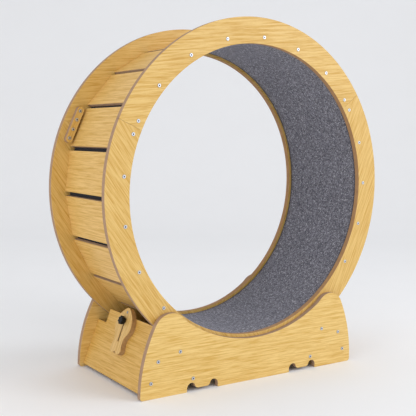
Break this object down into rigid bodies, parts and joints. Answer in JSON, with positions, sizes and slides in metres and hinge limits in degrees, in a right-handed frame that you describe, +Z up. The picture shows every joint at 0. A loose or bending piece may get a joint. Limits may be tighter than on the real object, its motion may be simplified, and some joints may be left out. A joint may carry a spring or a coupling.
{
  "type": "cat exercise wheel",
  "caption": "Open running wheel for a cat: two board rings joined by slats with a felt tread, on flanged rollers in a low stand with a fish-shaped brake latch.",
  "frame": {"origin": "on the floor, midway along and across the stand, straight below the wheel's axis", "axes": "+Z up, +Y along the wheel's axis to the rear, +X to the right seen from the front; the latch is at the -X end"},
  "size_m": [1, 0.393, 1.0629],
  "materials": {
    "ring_board": "satin oak veneer face, brown fibreboard edges",
    "plate_board": "satin oak veneer face, brown fibreboard edges",
    "slat_board": "satin oak veneer face, brown fibreboard edges",
    "stand_board": "satin oak veneer face, brown fibreboard edges",
    "latch_board": "satin oak veneer face, brown fibreboard edges",
    "felt": "needled grey felt",
    "zinc_screw": "bright zinc plate",
    "plain_steel": "zinc plate",
    "bearing_steel": "polished bearing steel",
    "roller_nylon": "natural nylon",
    "knob_plastic": "moulded black"
  },
  "bodies": {
    "stand": {"front_side_panel": "stand_board", "rear_side_panel": "stand_board", "left_end_panel": "stand_board", "right_end_panel": "stand_board", "left_cross_rail": "stand_board", "right_cross_rail": "stand_board", "panel_screws": "zinc_screw", "axle_bolts": "zinc_screw", "axle_spacers": "plain_steel", "axle_nuts": "plain_steel", "bearing_inner_rings": "bearing_steel", "bearing_balls": "bearing_steel", "latch_stud": "plain_steel"},
    "wheel": {"front_ring_segment_1": "ring_board", "front_ring_segment_2": "ring_board", "front_ring_segment_3": "ring_board", "rear_ring_segment_1": "ring_board", "rear_ring_segment_2": "ring_board", "rear_ring_segment_3": "ring_board", "front_splice_plate_1": "plate_board", "front_splice_plate_2": "plate_board", "front_splice_plate_3": "plate_board", "rear_splice_plate_1": "plate_board", "rear_splice_plate_2": "plate_board", "rear_splice_plate_3": "plate_board", "slat_01": "slat_board", "slat_02": "slat_board", "slat_03": "slat_board", "slat_04": "slat_board", "slat_05": "slat_board", "slat_06": "slat_board", "slat_07": "slat_board", "slat_08": "slat_board", "slat_09": "slat_board", "slat_10": "slat_board", "slat_11": "slat_board", "slat_12": "slat_board", "slat_13": "slat_board", "slat_14": "slat_board", "slat_15": "slat_board", "slat_16": "slat_board", "slat_17": "slat_board", "slat_18": "slat_board", "slat_19": "slat_board", "slat_20": "slat_board", "slat_21": "slat_board", "felt_liner": "felt", "ring_screws": "zinc_screw", "splice_screws": "zinc_screw"},
    "roller_front_left": {"roller_front_left": "roller_nylon", "bearing_outer_ring_front_left": "bearing_steel"},
    "roller_front_right": {"roller_front_right": "roller_nylon", "bearing_outer_ring_front_right": "bearing_steel"},
    "roller_rear_left": {"roller_rear_left": "roller_nylon", "bearing_outer_ring_rear_left": "bearing_steel"},
    "roller_rear_right": {"roller_rear_right": "roller_nylon", "bearing_outer_ring_rear_right": "bearing_steel"},
    "latch": {"fish_latch": "latch_board", "latch_eye": "zinc_screw"},
    "knob": {"clamp_knob": "knob_plastic"}
  },
  "joints": [
    {"name": "wheel_spin", "type": "hinge", "parent": "stand", "child": "wheel", "pos_m": [0, 0, 0.563], "axis": [0, 1, 0], "continuous": true},
    {"name": "roller_spin_front_left", "type": "hinge", "parent": "stand", "child": "roller_front_left", "pos_m": [-0.268, -0.169, 0.12206], "axis": [0, 1, 0], "continuous": true},
    {"name": "roller_spin_front_right", "type": "hinge", "parent": "stand", "child": "roller_front_right", "pos_m": [0.268, -0.169, 0.12206], "axis": [0, 1, 0], "continuous": true},
    {"name": "roller_spin_rear_left", "type": "hinge", "parent": "stand", "child": "roller_rear_left", "pos_m": [-0.268, 0.169, 0.12206], "axis": [0, 1, 0], "continuous": true},
    {"name": "roller_spin_rear_right", "type": "hinge", "parent": "stand", "child": "roller_rear_right", "pos_m": [0.268, 0.169, 0.12206], "axis": [0, 1, 0], "continuous": true},
    {"name": "latch_slide", "type": "slide", "parent": "stand", "child": "latch", "axis": [0.3584, 0, 0.9336], "range_m": [0, 0.0165]},
    {"name": "knob_turn", "type": "hinge", "parent": "stand", "child": "knob", "pos_m": [-0.34563, 0, 0.17973], "axis": [-0.9336, 0, 0.3584], "range_deg": [0, 360]}
  ],
  "couplings": [
    {"joint": "roller_spin_front_left", "follows": "wheel_spin", "ratio": -31.847},
    {"joint": "roller_spin_front_right", "follows": "wheel_spin", "ratio": -31.847},
    {"joint": "roller_spin_rear_left", "follows": "wheel_spin", "ratio": -31.847},
    {"joint": "roller_spin_rear_right", "follows": "wheel_spin", "ratio": -31.847}
  ]
}
